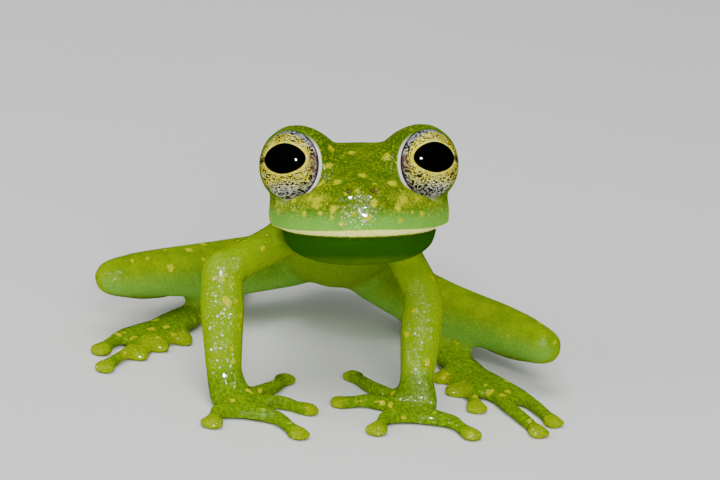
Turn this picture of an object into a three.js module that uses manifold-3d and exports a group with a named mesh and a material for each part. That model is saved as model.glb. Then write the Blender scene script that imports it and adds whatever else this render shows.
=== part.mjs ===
// A glass frog sitting alert with its head raised, life size, as one still model.
// Millimetres, +Z up. The frog faces -Y and its own left side is +X. The floor is z = 0.

import * as THREE from 'three';
import { mergeVertices } from 'three/addons/utils/BufferGeometryUtils.js';
import Module from 'manifold-3d';

const wasm = await Module();
wasm.setup();

// Driving dimensions

const GAP = 0.3; // left between neighbouring parts

// The head's own axes start midway between the eyes: x to its left, y backward, z up.
const HEAD_CENTRE = [0.9, 0, 13.75];
const HEAD_PITCH = 16; // degrees, nose up
const HEAD_ROLL = 6.8; // degrees, left side up
const HEAD_YAW = 3.2; // degrees, snout toward its left
const HEAD_WIDTH = 10.05;
const SNOUT_Y = -4.35;
const WIDEST_Y = 2.0;
const NECK_Y = 4.5; // where the head ends and the torso begins
const NAPE_TAPER = 0.07; // how fast the head narrows behind its widest place
const LIP_BEAD = 0.55; // height of the rounded lip above the mouth
const MOUTH_FRONT_Z = -4.02;
const MOUTH_RISE = 0.076; // the mouth line climbs this much for each millimetre back
const CROWN_LINE = [
  [-4.35, -2.3], [-4.0, -1.6], [-3.3, -1.15], [-2.2, -0.5], [-0.6, 0.5], [1.2, 1.1], [3.4, 1.05], [5.4, 0.5],
];
const THROAT_LINE = [
  [-4.0, -4.4], [-3.4, -5.0], [-2.0, -5.5], [-0.3, -5.7], [2.0, -5.7], [5.4, -5.6],
];
// The oval view in front of an eye, from the eyeball to beside the snout: distance back, the
// middle across and up, and half its width and height.
const VIEW_BACK = { y: 0.25, middle: [3.86, -0.1], half: [1.62, 1.85] };
const VIEW_FRONT = { y: -4.8, middle: [3.62, 0.35], half: [2.25, 2.25] };
const JAW_INSET = 0.86; // lower jaw's width as a share of the upper one
const JAW_FRONT_Y = -4.0;
const SNOUT_HALF_WIDTH = 0.35; // of the blunt tip of either jaw
const SNOUT_BLUNT = 0.5; // length over which the tip rounds off

const EYE_RADIUS = 2.08;
const EYE_CENTRE = [3.5, 0.25, -0.08];
const EYE_OUTWARD = 33; // degrees from straight ahead
const EYE_UPWARD = 3;
const EYE_BASE = 0.74; // from the eyeball's centre to the flat back of its bare part
const LID_RADIUS = 2.22;
const LID_CENTRE = [3.4, 0.4, -0.08];
const BROW_CENTRE = [3.35, 0.8, -0.15];
const BROW_SIZE = [2.4, 2.8, 2.2];

const NOSTRIL = [0.68, -3.82, -1.5];
const NOSTRIL_SIZE = [0.15, 0.3, 0.13];

// Spine stations: place, half width and half height of the trunk
const TORSO = [
  [[0.75, 3.2, 10.55], 4.45, 3.15],
  [[0.4, 6.0, 9.45], 4.15, 3.5],
  [[0.15, 9.0, 7.75], 4.15, 3.75],
  [[0, 12.0, 5.95], 3.95, 3.55],
  [[0, 14.8, 4.3], 3.3, 2.95],
  [[0, 16.7, 3.1], 2.2, 2.15],
];
const VENT_LENGTH = 1.0;
const BACK_ROUNDNESS = 2.3; // 2 is an ellipse and more is squarer
const BELLY_ROUNDNESS = 1.85;

const SHOULDER_RADIUS = 1.15;
const ELBOW_RADIUS = 1.12;
const FOREARM_RADIUS = 1.26;
const WRIST_RADIUS = 1.0;
const PALM_SIZE = [1.2, 0.66]; // half width, half height

const HIP_RADIUS = 1.75;
const THIGH_RADIUS = 1.68;
const LOW_THIGH_RADIUS = 1.4;
const KNEE_RADIUS = 1.12;
const CALF_RADIUS = 1.48;
const HEEL_RADIUS = 0.86;
const TARSUS_SIZE = [0.95, 0.6];
const SOLE_SIZE = [1.15, 0.58];

const DIGIT_HALF_WIDTH = 0.4;
const DIGIT_HALF_HEIGHT = 0.37;
const DISC_HALF_WIDTH = 0.8;
const DISC_HALF_HEIGHT = 0.36;
const DISC_LENGTH = 1.5;
const WEB_THICKNESS = 0.5;
const WEB_BOTTOM = 0.12;
const HAND_WEB_REACH = [0.22, 0.42]; // between the second, third and fourth fingers
const FOOT_WEB_REACH = [0.35, 0.5, 0.55, 0.6];

// Joints of each limb. A digit is [where it leaves the palm or sole, its tip, sideways bow].
const ARMS = {
  right: {
    shoulder: [-2.7, 3.4, 7.9], elbow: [-6.2, -1.5, 7.1], wrist: [-5.45, -3.2, 1.6],
    palm: [-4.85, -4.25, 0.6],
    digits: [
      [[-3.9, -3.2], [-1.7, 1.1], -0.4],
      [[-3.7, -4.2], [0.2, -4.0], 0.3],
      [[-4.0, -5.1], [-0.35, -8.45], 0.35],
      [[-4.9, -5.3], [-5.9, -8.35], -0.3],
    ],
  },
  left: {
    shoulder: [3.2, 4.8, 8.3], elbow: [5.4, 2.3, 5.65], wrist: [5.45, -1.05, 1.6],
    palm: [5.6, -2.15, 0.6],
    digits: [
      [[4.7, -1.4], [1.4, 2.7], 0.4],
      [[4.4, -2.4], [0.55, -2.35], -0.3],
      [[4.9, -3.1], [3.1, -6.75], -0.3],
      [[6.0, -3.2], [9.3, -5.7], 0.35],
    ],
  },
};
const LEGS = {
  right: {
    hip: [-2.3, 13.7, 3.3], knee: [-12.7, 5.2, 3.7], heel: [-5.8, 16.3, 1.25], thighSag: 0.2,
    tarsus: [-6.4, 12.6, 0.72], ankle: [-8.2, 8.6, 0.64], sole: [-9.3, 6.6, 0.5],
    digits: [
      [[-8.7, 6.7], [-8.1, 4.7], 0.1],
      [[-9.1, 6.4], [-9.7, 3.1], 0.2],
      [[-9.5, 6.0], [-10.8, 1.35], 0.2],
      [[-9.9, 6.1], [-12.55, -1.25], 0.2],
      [[-10.1, 6.6], [-13.2, 1.6], -0.3],
    ],
  },
  left: {
    hip: [2.3, 13.2, 3.1], knee: [12.6, 3.2, 2.95], heel: [5.7, 13.9, 1.25], thighSag: 0.45,
    tarsus: [5.5, 10.3, 0.72], ankle: [7.2, 6.6, 0.64], sole: [8.4, 4.4, 0.5],
    digits: [
      [[7.9, 4.8], [6.6, 2.9], -0.1],
      [[8.2, 4.1], [7.65, 0.85], -0.2],
      [[8.6, 3.7], [9.05, -1.6], -0.2],
      [[9.0, 3.8], [12.8, -4.4], -0.2],
      [[9.2, 4.3], [13.75, -2.45], 0.3],
    ],
  },
};

const MATERIALS = {
  skin: new THREE.MeshStandardMaterial({ color: 0x86a81f, roughness: 0.35, metalness: 0 }),
  throat: new THREE.MeshStandardMaterial({ color: 0x3f6f12, roughness: 0.3, metalness: 0 }),
  digits: new THREE.MeshStandardMaterial({ color: 0xb9b83a, roughness: 0.35, metalness: 0 }),
  eye: new THREE.MeshStandardMaterial({ color: 0x17130c, roughness: 0.05, metalness: 0 }),
};

const vector = (p) => new THREE.Vector3(...p);
const between = (a, b, share) => vector(a).lerp(vector(b), share).toArray();
const radians = THREE.MathUtils.degToRad;

// Joining and cutting

function solid(geometry) {
  const bare = geometry.clone();
  bare.deleteAttribute('normal');
  bare.deleteAttribute('uv');
  const merged = mergeVertices(bare, 1e-5);
  return new wasm.Manifold(new wasm.Mesh({
    numProp: 3,
    vertProperties: new Float32Array(merged.attributes.position.array),
    triVerts: new Uint32Array(merged.index.array),
  }));
}

function largest(body) {
  const pieces = body.decompose();
  return pieces.reduce((best, piece) => (piece.volume() > best.volume() ? piece : best));
}

// Corners closer together than a thousandth of a millimetre become one. The slivers between them
// go, and so do two faces that this folds flat onto each other.
function geometryOf(body) {
  const mesh = largest(body).getMesh();
  const places = new THREE.BufferAttribute(new Float32Array(mesh.vertProperties), 3);
  const loose = new THREE.BufferGeometry();
  loose.setAttribute('position', places);
  loose.setIndex(new THREE.BufferAttribute(new Uint32Array(mesh.triVerts), 1));
  const geometry = mergeVertices(loose, 1e-3);
  const corners = geometry.index.array;
  const faces = new Map();
  for (let i = 0; i < corners.length; i += 3) {
    const face = [corners[i], corners[i + 1], corners[i + 2]];
    const name = [...face].sort((a, b) => a - b).join();
    if (new Set(face).size < 3 || faces.delete(name)) {
      continue;
    }
    faces.set(name, face);
  }
  geometry.setIndex([...faces.values()].flat());
  geometry.computeVertexNormals();
  return geometry;
}

// A large block with one face through a point. It fills the side that the normal points to.
function block(point, normal, offset) {
  const size = 60;
  const geometry = new THREE.BoxGeometry(size, size, size);
  const direction = normal.clone().normalize();
  const turn = new THREE.Quaternion().setFromUnitVectors(new THREE.Vector3(0, 0, 1), direction);
  geometry.applyQuaternion(turn);
  const centre = point.clone().addScaledVector(direction, size / 2 + offset);
  geometry.translate(centre.x, centre.y, centre.z);
  return solid(geometry);
}

// Keeps the part of a body on the near side of a joint, half a gap short of it.
// The joint's plane halves the angle between the two limbs that meet there.
function endAt(body, joint, ownFar, otherFar) {
  const own = vector(ownFar).sub(vector(joint)).normalize();
  const other = vector(otherFar).sub(vector(joint)).normalize();
  return body.subtract(block(vector(joint), other.sub(own), -GAP / 2));
}

// Cuts a body off level with the floor, which leaves it a small flat to rest on.
function onFloor(body) {
  return body.subtract(block(new THREE.Vector3(0, 0, 0), new THREE.Vector3(0, 0, -1), 0));
}

// Shapes

const signedPower = (value, power) => Math.sign(value) * Math.abs(value) ** power;

function smoothCurve(points) {
  return new THREE.CatmullRomCurve3(points, false, 'catmullrom', 0.5);
}

// A rounded body along a smooth path. Each station is [place, half width, half height].
// Capsule rings are carried onto the path, so both ends are closed domes.
function limb(stations, {
  sides = 10, steps = 8, domes = [null, null], domeRings = 3, up = [0, 0, 1],
  topRoundness = 2, bottomRoundness = 2, grow = 0,
} = {}) {
  const path = smoothCurve(stations.map(([place]) => vector(place)));
  const sizes = stations.map(([, width, height]) => new THREE.Vector3(width + grow, height + grow, 0));
  const girth = smoothCurve(sizes);
  const last = stations.length - 1;
  const domeLengths = [
    (domes[0] ?? stations[0][1]) + grow,
    (domes[1] ?? stations[last][1]) + grow,
  ];
  const geometry = new THREE.CapsuleGeometry(1, 2, domeRings, sides, steps);
  const position = geometry.attributes.position;
  const upward = vector(up);
  for (let i = 0; i < position.count; i++) {
    const x = position.getX(i);
    const y = position.getY(i);
    const z = position.getZ(i);
    const along = THREE.MathUtils.clamp((y + 1) / 2, 0, 1);
    const beyond = y - THREE.MathUtils.clamp(y, -1, 1);
    const centre = path.getPoint(along);
    const tangent = path.getTangent(along);
    const size = girth.getPoint(along);
    const side = tangent.clone().cross(upward).normalize();
    const over = side.clone().cross(tangent);
    const angle = Math.atan2(z, x) + Math.PI / sides;
    const reach = Math.hypot(x, z);
    const roundness = Math.sin(angle) > 0 ? topRoundness : bottomRoundness;
    centre.addScaledVector(side, reach * size.x * signedPower(Math.cos(angle), 2 / roundness));
    centre.addScaledVector(over, reach * size.y * signedPower(Math.sin(angle), 2 / roundness));
    centre.addScaledVector(tangent, beyond * (beyond < 0 ? domeLengths[0] : domeLengths[1]));
    position.setXYZ(i, centre.x, centre.y, centre.z);
  }
  return solid(geometry);
}

// Height along a line of [y, z] points, smooth between them.
function profile(points) {
  const curve = smoothCurve(points.map(([y, z]) => new THREE.Vector3(0, y, z)));
  return (y) => {
    let low = 0;
    let high = 1;
    for (let i = 0; i < 30; i++) {
      const middle = (low + high) / 2;
      if (curve.getPoint(middle).y < y) {
        low = middle;
      } else {
        high = middle;
      }
    }
    return curve.getPoint(low).z;
  };
}

// Head

const headTurn = new THREE.Euler(radians(-HEAD_PITCH), radians(-HEAD_ROLL), radians(HEAD_YAW), 'YXZ');
const headFrame = new THREE.Matrix4().compose(
  vector(HEAD_CENTRE),
  new THREE.Quaternion().setFromEuler(headTurn),
  new THREE.Vector3(1, 1, 1),
);
const inHead = (p) => vector(p).applyMatrix4(headFrame);
const headDirection = (p) => vector(p).transformDirection(headFrame);

const mouthZ = (y) => MOUTH_FRONT_Z + MOUTH_RISE * (y - SNOUT_Y);
const crownZ = profile(CROWN_LINE);
const throatZ = profile(THROAT_LINE);

function jawHalfWidth(y, tip) {
  const roundness = 2.1;
  const share = y < WIDEST_Y ? Math.min((WIDEST_Y - y) / (WIDEST_Y - tip), 1) : 0;
  const narrowing = NAPE_TAPER * Math.max(0, y - WIDEST_Y) ** 2;
  return (HEAD_WIDTH / 2) * (1 - share ** roundness) ** (1 / roundness) - narrowing;
}

// A shell of sections across the head from its tip to the neck. section(y) gives
// the half width, the level of the widest place, and the heights above and below it.
function headLoft(section, tip, { sides, steps, above, below }) {
  const tipHeight = 0.45; // share of the full height right at the tip
  const geometry = new THREE.CylinderGeometry(1, 1, 1, sides, steps);
  const position = geometry.attributes.position;
  for (let i = 0; i < position.count; i++) {
    const t = 0.5 + position.getY(i);
    const y = tip + (NECK_Y - tip) * (1 - Math.cos(t * Math.PI / 2));
    const { half, level, rise, drop } = section(y);
    const front = Math.min((y - tip) / SNOUT_BLUNT, 1);
    const shrink = tipHeight + (1 - tipHeight) * Math.sqrt(1 - (1 - front) ** 2);
    const angle = Math.atan2(position.getZ(i), position.getX(i)) + Math.PI / sides;
    const reach = Math.hypot(position.getX(i), position.getZ(i));
    const upper = Math.sin(angle) > 0;
    const power = 2 / (upper ? above : below);
    const x = Math.max(half, SNOUT_HALF_WIDTH) * signedPower(Math.cos(angle), power);
    const z = (upper ? rise : drop) * shrink * signedPower(Math.sin(angle), power);
    position.setXYZ(i, reach * x, y, level + reach * z);
  }
  geometry.applyMatrix4(headFrame);
  return solid(geometry);
}

function upperHeadShape() {
  const section = (y) => {
    const bottom = mouthZ(y);
    const level = bottom + LIP_BEAD;
    return { half: jawHalfWidth(y, SNOUT_Y), level, rise: crownZ(y) - level, drop: LIP_BEAD };
  };
  return headLoft(section, SNOUT_Y, { sides: 36, steps: 20, above: 2.6, below: 5 });
}

function lowerJawShape(grow = 0) {
  const section = (y) => {
    const top = mouthZ(y) + grow;
    const level = mouthZ(y) - LIP_BEAD / 2;
    const half = JAW_INSET * jawHalfWidth(y, JAW_FRONT_Y - grow) + grow;
    return { half, level, rise: top - level, drop: level - throatZ(y) + grow };
  };
  return headLoft(section, JAW_FRONT_Y - grow, { sides: 28, steps: 14, above: 5, below: 2.3 });
}

function ellipsoid(centre, size, sides, rings) {
  const geometry = new THREE.SphereGeometry(1, sides, rings);
  geometry.rotateX(Math.PI / 2);
  geometry.scale(...size);
  geometry.translate(...centre);
  geometry.applyMatrix4(headFrame);
  return solid(geometry);
}

function eyeAxis(side) {
  const out = radians(EYE_OUTWARD);
  const lift = radians(EYE_UPWARD);
  return [side * Math.sin(out) * Math.cos(lift), -Math.cos(out) * Math.cos(lift), Math.sin(lift)];
}

const mirrored = ([x, y, z], side) => [side * x, y, z];

// The bare part of the eyeball, a domed lens with a flat back.
function eyeShape(side, radius, base) {
  const arcSteps = 7;
  const rim = Math.acos(base / radius);
  const outline = [new THREE.Vector2(0, base)];
  for (let i = 0; i <= arcSteps; i++) {
    const angle = rim * (1 - i / arcSteps);
    const across = i === arcSteps ? 0 : radius * Math.sin(angle);
    outline.push(new THREE.Vector2(across, radius * Math.cos(angle)));
  }
  const geometry = new THREE.LatheGeometry(outline, 24);
  const facing = vector(eyeAxis(side));
  geometry.applyQuaternion(new THREE.Quaternion().setFromUnitVectors(new THREE.Vector3(0, 1, 0), facing));
  geometry.translate(...mirrored(EYE_CENTRE, side));
  geometry.applyMatrix4(headFrame);
  return solid(geometry);
}

function headWithBrows() {
  let shape = upperHeadShape();
  for (const side of [-1, 1]) {
    shape = shape.add(ellipsoid(mirrored(BROW_CENTRE, side), BROW_SIZE, 16, 11));
    shape = shape.add(ellipsoid(mirrored(LID_CENTRE, side), [LID_RADIUS, LID_RADIUS, LID_RADIUS], 18, 12));
  }
  return shape;
}

// The hollow beside the snout that leaves one eye its view straight ahead.
function eyeViewShape(side) {
  const geometry = new THREE.CylinderGeometry(1, 1, 1, 24, 1);
  const position = geometry.attributes.position;
  for (let i = 0; i < position.count; i++) {
    const { y, middle, half } = position.getY(i) > 0 ? VIEW_FRONT : VIEW_BACK;
    const x = side * middle[0] + half[0] * position.getX(i);
    position.setXYZ(i, x, y, middle[1] - half[1] * position.getZ(i));
  }
  geometry.applyMatrix4(headFrame);
  return solid(geometry);
}

function openSockets(shape) {
  let opened = shape;
  for (const side of [-1, 1]) {
    opened = opened.subtract(eyeShape(side, EYE_RADIUS + GAP, EYE_BASE - GAP));
    opened = opened.subtract(eyeViewShape(side));
    opened = opened.subtract(ellipsoid(mirrored(NOSTRIL, side), NOSTRIL_SIZE, 8, 6));
  }
  return opened;
}

function mouthCut() {
  const length = 16;
  const geometry = new THREE.BoxGeometry(length, length, GAP);
  geometry.rotateX(Math.atan(MOUTH_RISE));
  geometry.translate(0, 0, mouthZ(0));
  geometry.applyMatrix4(headFrame);
  return solid(geometry);
}

function torsoShape(grow = 0) {
  return limb(TORSO, {
    sides: 22, steps: 13, domes: [1, VENT_LENGTH], topRoundness: BACK_ROUNDNESS,
    bottomRoundness: BELLY_ROUNDNESS, grow, domeRings: 4,
  });
}

// Hands and feet

// A digit from inside the palm or sole to its widened, truncated disc, flat on the floor.
function digitShape([root, tip, bow], inner) {
  const start = new THREE.Vector2(...root);
  const end = new THREE.Vector2(...tip);
  const run = end.clone().sub(start);
  const forward = run.clone().normalize();
  const sideways = new THREE.Vector2(-forward.y, forward.x);
  const buried = start.clone().add(new THREE.Vector2(inner[0], inner[1])).multiplyScalar(0.5);
  const middle = start.clone().addScaledVector(run, 0.45).addScaledVector(sideways, bow);
  const back = (share) => end.clone().addScaledVector(forward, -share * DISC_LENGTH);
  const neck = back(1).addScaledVector(sideways, 0.3 * bow);
  const station = (point, height, width, depth) => [
    [point.x, point.y, height], width * DIGIT_HALF_WIDTH, depth * DIGIT_HALF_HEIGHT,
  ];
  return limb([
    station(buried, 0.42, 1.3, 1.3),
    station(start, 0.4, 1.2, 1.3),
    station(middle, 0.46, 1, 1.15),
    station(neck, 0.34, 0.95, 1),
    [[back(0.5).x, back(0.5).y, 0.27], DISC_HALF_WIDTH, DISC_HALF_HEIGHT],
    [[back(0.12).x, back(0.12).y, 0.24], DISC_HALF_WIDTH * 0.75, DISC_HALF_HEIGHT * 0.8],
  ], { sides: 8, steps: 10, domes: [0.2, 0.16], domeRings: 2 });
}

// One web that joins neighbouring digits. Each reach is the share of the two digits that it
// runs along, and between them its free edge is hollow.
function webShape(digits, reaches, inner) {
  const along = ([root, tip], share) => new THREE.Vector2(...root).lerp(new THREE.Vector2(...tip), share);
  const outline = new THREE.Shape();
  outline.moveTo(inner[0], inner[1]);
  reaches.forEach((reach, i) => {
    const from = along(digits[i], reach);
    const to = along(digits[i + 1], reach);
    const roots = along(digits[i], 0).add(along(digits[i + 1], 0)).multiplyScalar(0.5);
    const hollow = from.clone().add(to).multiplyScalar(0.5).lerp(roots, 0.45);
    outline.lineTo(from.x, from.y);
    outline.quadraticCurveTo(hollow.x, hollow.y, to.x, to.y);
  });
  outline.closePath();
  const shape = { depth: WEB_THICKNESS, bevelEnabled: false, curveSegments: 4 };
  const geometry = new THREE.ExtrudeGeometry(outline, shape);
  geometry.translate(0, 0, WEB_BOTTOM);
  return solid(geometry);
}

function handShape({ elbow, wrist, palm, digits }) {
  const [palmWidth, palmHeight] = PALM_SIZE;
  const fingerRoot = [...digits[2][0], palm[2]];
  const heel = between(wrist, palm, 0.55);
  const back = limb([
    [wrist, WRIST_RADIUS, WRIST_RADIUS],
    [[heel[0], heel[1], 0.95], palmWidth * 0.92, palmHeight * 1.25],
    [palm, palmWidth, palmHeight],
    [between(palm, fingerRoot, 0.5), palmWidth * 0.85, palmHeight * 0.85],
  ], { sides: 12, steps: 6, domes: [WRIST_RADIUS, 0.5], up: [0, -0.5, 1] });
  let hand = endAt(back, wrist, palm, elbow);
  for (const digit of digits) {
    hand = hand.add(digitShape(digit, palm));
  }
  return onFloor(hand.add(webShape(digits.slice(1), HAND_WEB_REACH, palm)));
}

function footShape({ tarsus, ankle, sole, digits }) {
  const [soleWidth, soleHeight] = SOLE_SIZE;
  const toeRoot = [...digits[2][0], 0.42];
  const instep = limb([
    [ankle, ...TARSUS_SIZE],
    [between(ankle, sole, 0.5), soleWidth * 0.9, soleHeight * 1.05],
    [sole, soleWidth, soleHeight],
    [toeRoot, soleWidth * 0.7, soleHeight * 0.85],
  ], { sides: 10, steps: 6, domes: [TARSUS_SIZE[0], 0.4] });
  let foot = endAt(instep, ankle, sole, tarsus);
  for (const digit of digits) {
    foot = foot.add(digitShape(digit, sole));
  }
  return onFloor(foot.add(webShape(digits, FOOT_WEB_REACH, sole)));
}

// Arms and legs

function upperArmShape({ shoulder, elbow }) {
  return limb([
    [shoulder, SHOULDER_RADIUS, SHOULDER_RADIUS],
    [between(shoulder, elbow, 0.5), SHOULDER_RADIUS * 0.94, SHOULDER_RADIUS * 0.94],
    [elbow, ELBOW_RADIUS, ELBOW_RADIUS],
  ], { up: [0, -1, 0.3] });
}

function forearmShape({ elbow, wrist }) {
  return limb([
    [elbow, ELBOW_RADIUS, ELBOW_RADIUS],
    [between(elbow, wrist, 0.35), FOREARM_RADIUS, FOREARM_RADIUS],
    [between(elbow, wrist, 0.75), WRIST_RADIUS * 1.1, WRIST_RADIUS * 1.1],
    [wrist, WRIST_RADIUS, WRIST_RADIUS],
  ], { up: [0, -1, 0.3] });
}

function thighShape({ hip, knee, thighSag }) {
  const [x, y, z] = between(hip, knee, 0.4);
  return limb([
    [hip, HIP_RADIUS, HIP_RADIUS],
    [[x, y, z - thighSag], THIGH_RADIUS, THIGH_RADIUS * 1.04],
    [between(hip, knee, 0.78), LOW_THIGH_RADIUS, LOW_THIGH_RADIUS],
    [knee, KNEE_RADIUS, KNEE_RADIUS],
  ]);
}

function shankShape({ knee, heel }) {
  return limb([
    [knee, KNEE_RADIUS, KNEE_RADIUS],
    [between(knee, heel, 0.3), CALF_RADIUS, CALF_RADIUS],
    [between(knee, heel, 0.72), HEEL_RADIUS * 1.1, HEEL_RADIUS * 1.1],
    [heel, HEEL_RADIUS, HEEL_RADIUS],
  ]);
}

function tarsusShape({ heel, tarsus, ankle }, grow = 0) {
  return limb([
    [heel, HEEL_RADIUS, HEEL_RADIUS],
    [tarsus, ...TARSUS_SIZE],
    [ankle, ...TARSUS_SIZE],
  ], { grow });
}

// The frog

const frog = new THREE.Group();
frog.name = 'glass_frog';

function place(name, body, material) {
  const mesh = new THREE.Mesh(geometryOf(body), material.clone());
  mesh.name = name;
  frog.add(mesh);
}

const trunk = headWithBrows().add(lowerJawShape()).add(torsoShape());
const neck = inHead([0, NECK_Y, 0]);
const backward = headDirection([0, 1, 0]);
const forward = backward.clone().negate();
const headAndJaw = openSockets(trunk.subtract(block(neck, backward, -GAP / 2))).subtract(mouthCut());
const upward = headDirection([0, 0, 1]);
const downward = upward.clone().negate();
const mouthCentre = inHead([0, 0, mouthZ(0)]);
place('head', headAndJaw.subtract(block(mouthCentre, downward, 0)), MATERIALS.skin);
place('lower_jaw', headAndJaw.subtract(block(mouthCentre, upward, 0)), MATERIALS.throat);
place('torso', trunk.subtract(block(neck, forward, -GAP / 2)), MATERIALS.skin);

for (const [name, side] of [['right', -1], ['left', 1]]) {
  place(`eye_${name}`, eyeShape(side, EYE_RADIUS, EYE_BASE), MATERIALS.eye);
}

const trunkClearance = torsoShape(GAP).add(lowerJawShape(GAP));

for (const [name, arm] of Object.entries(ARMS)) {
  const { shoulder, elbow, wrist, palm } = arm;
  const upperArm = endAt(upperArmShape(arm), elbow, shoulder, wrist).subtract(trunkClearance);
  const forearm = endAt(endAt(forearmShape(arm), elbow, wrist, shoulder), wrist, elbow, palm);
  place(`upper_arm_${name}`, upperArm, MATERIALS.skin);
  place(`forearm_${name}`, forearm, MATERIALS.skin);
  place(`hand_${name}`, handShape(arm), MATERIALS.digits);
}

for (const [name, leg] of Object.entries(LEGS)) {
  const { hip, knee, heel, tarsus, ankle, sole } = leg;
  const thigh = endAt(thighShape(leg), knee, hip, heel).subtract(trunkClearance);
  const shank = endAt(endAt(shankShape(leg), knee, heel, hip), heel, knee, tarsus);
  const tarsusPart = endAt(endAt(tarsusShape(leg), heel, tarsus, knee), ankle, tarsus, sole);
  place(`thigh_${name}`, thigh.subtract(tarsusShape(leg, GAP)), MATERIALS.skin);
  place(`shank_${name}`, shank, MATERIALS.skin);
  place(`tarsus_${name}`, tarsusPart, MATERIALS.skin);
  place(`foot_${name}`, footShape(leg), MATERIALS.digits);
}

// The origin is on the floor, under the middle of the frog.
const box = new THREE.Box3().setFromObject(frog);
const middle = box.getCenter(new THREE.Vector3());
frog.position.set(-middle.x, -middle.y, 0);

export default frog;
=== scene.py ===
# A glass frog at life size: one moist skin over its flesh, two netted eyes, a pale floor and soft light.
import math

import bmesh
import bpy
from mathutils import Matrix, Vector
from mathutils.bvhtree import BVHTree


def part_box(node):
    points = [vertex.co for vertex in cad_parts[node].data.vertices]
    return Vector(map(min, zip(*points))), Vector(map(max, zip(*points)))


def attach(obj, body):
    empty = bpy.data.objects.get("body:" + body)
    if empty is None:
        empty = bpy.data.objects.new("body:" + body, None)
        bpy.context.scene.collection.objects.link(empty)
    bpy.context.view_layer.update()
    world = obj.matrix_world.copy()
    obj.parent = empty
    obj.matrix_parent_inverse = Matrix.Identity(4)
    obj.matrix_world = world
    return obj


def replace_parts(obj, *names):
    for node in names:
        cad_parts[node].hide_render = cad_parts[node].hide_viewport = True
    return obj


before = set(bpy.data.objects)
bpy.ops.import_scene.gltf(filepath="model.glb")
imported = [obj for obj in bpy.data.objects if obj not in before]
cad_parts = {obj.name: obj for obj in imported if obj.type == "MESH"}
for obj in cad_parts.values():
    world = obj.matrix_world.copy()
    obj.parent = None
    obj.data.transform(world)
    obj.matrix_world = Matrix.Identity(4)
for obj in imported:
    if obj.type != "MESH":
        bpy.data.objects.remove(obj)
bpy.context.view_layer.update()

# Everything is worked out in millimetres, and a finished mesh is brought to metres.
MM = 0.001
SIDES = {"right": -1, "left": 1}

# The head: its own axes are x across, y back and z up, from the middle between the eyes.
EYE_RADIUS = 2.08
EYE_PLACE = (3.5, 0.25, -0.08)
EYES_BOX_TO_HEAD = Vector((0.015, -0.52, 0.0625))
HEAD_TURN = (
    Matrix.Rotation(math.radians(-6.8), 3, "Y")
    @ Matrix.Rotation(math.radians(-16), 3, "X")
    @ Matrix.Rotation(math.radians(3.2), 3, "Z")
)
HEAD_SPOT = Vector((0.9, 0.0, 13.75))
SNOUT_Y = -4.35
MOUTH_FRONT_Z = -4.02
MOUTH_RISE = 0.076

# The eyelids: the opening is a cone round an axis that looks out and up from the head.
OPENING_OUTWARD = 33
OPENING_UPWARD = 3
LID_EDGE = math.radians(71.5)
LID_DROOP = math.radians(2)
LID_THICKNESS = 0.1
UPPER_LID_EXTRA = 0.16
PALE_RIM_EXTRA = 0.16
PALE_RIM_TURN = math.radians(203)
LID_CLEARANCE = 0.12
LID_FOLD_BEHIND = 0.3
LID_FOLD_DEPTH = 0.1

# The eyelid's rim rolls in over the eyeball: height above it, degrees in from the edge, and whether it
# takes the pale rim colour, with painted shade where the rim isn't pale.
RIM_STEPS = ((0.24, 0.6, 0), (0.17, 1.6, 1), (0.05, 2.4, 1), (-0.04, 2.2, 1), (-0.3, -2.0, 1))
RIM_FLATTENING = 0.8

# The eyeballs look out and up, each cornea stands a little proud, and the two nets differ.
GAZE_OUTWARD = 23
GAZE_UPWARD = 12
CORNEA_RISE = 0.025
NET_SHIFT = 3.7

# The skin: voxel size, how far the flesh swells so that its gaps close, and how far it settles back.
VOXEL = 0.176
SWELL = 0.2
SETTLE = 0.16
EYE_ROOM = 0.16

# How often parts of the skin and its masks are smoothed.
JOINT_ROUNDS = 6
BODY_ROUNDS = 14
FACE_ROUNDS = 2
LID_ROUNDS = 3
MASK_ROUNDS = 5

# The face: half its width, its mouth and lips, nostrils, spots, and the folds at the mouth's corners.
FACE_HALF_WIDTH = 6.2
GROOVE_DEPTH = 0.16
LIP_SWELL = 0.06
LIP_HEIGHT = 0.2
LIP_EXTRA_HEIGHT = 0.2
NOSTRIL = (0.68, -1.5)
NOSTRIL_PIT = Vector((0, 0.26, -0.05))
NOSTRIL_RADIUS = 0.1
NOSTRIL_RIM = 0.06
SPOT_RELIEF = 0.2
FOLD_HEIGHT = 0.1
FOLD_RATE = 8

# Tips of the digits, in the frog's own millimetres from the floor under the middle of its chest.
TIPS = {
    "hand_right": [(-1.7, 1.1), (0.2, -4.0), (-0.35, -8.45), (-5.9, -8.35)],
    "hand_left": [(1.4, 2.7), (0.55, -2.35), (3.1, -6.75), (9.3, -5.7)],
    "foot_right": [(-8.1, 4.7), (-9.7, 3.1), (-10.8, 1.35), (-12.55, -1.25), (-13.2, 1.6)],
    "foot_left": [(6.6, 2.9), (7.65, 0.85), (9.05, -1.6), (12.8, -4.4), (13.75, -2.45)],
}

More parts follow.
